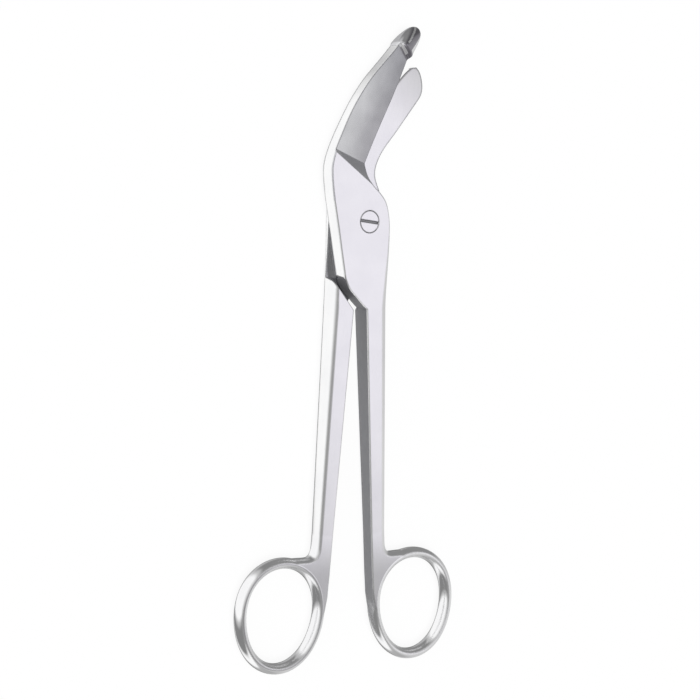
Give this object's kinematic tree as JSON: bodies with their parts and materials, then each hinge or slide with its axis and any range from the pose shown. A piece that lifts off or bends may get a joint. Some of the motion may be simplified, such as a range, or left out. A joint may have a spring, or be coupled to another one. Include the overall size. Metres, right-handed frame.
{
  "type": "surgical scissors",
  "caption": "Angled bandage shears: a blunt probe-nosed blade and a flat blade crossing at a slotted screw, with long shanks and oval finger rings.",
  "frame": {"origin": "on the axis of the joint screw, at the flat back face of the shears", "axes": "+Z along the joint axis towards the face that carries the screw head, +Y along the length towards the blade tips, +X completes the right-handed frame: the rounded blade ends lean towards +X"},
  "size_m": [0.0922, 0.231, 0.008],
  "materials": {
    "satin_steel": "satin faces with mirror-polished sides and a finely ground blade",
    "polished_steel": "satin faces with mirror-polished sides",
    "screw_steel": "satin, ground flush with the face"
  },
  "bodies": {
    "rear_half": {"rear_half": "polished_steel", "pivot_screw": "screw_steel"},
    "front_half": {"front_half": "satin_steel"}
  },
  "joints": [
    {"name": "pivot", "type": "hinge", "parent": "rear_half", "child": "front_half", "pos_m": [0, 0, 0], "axis": [0, 0, 1], "range_deg": [-8, 60]}
  ]
}
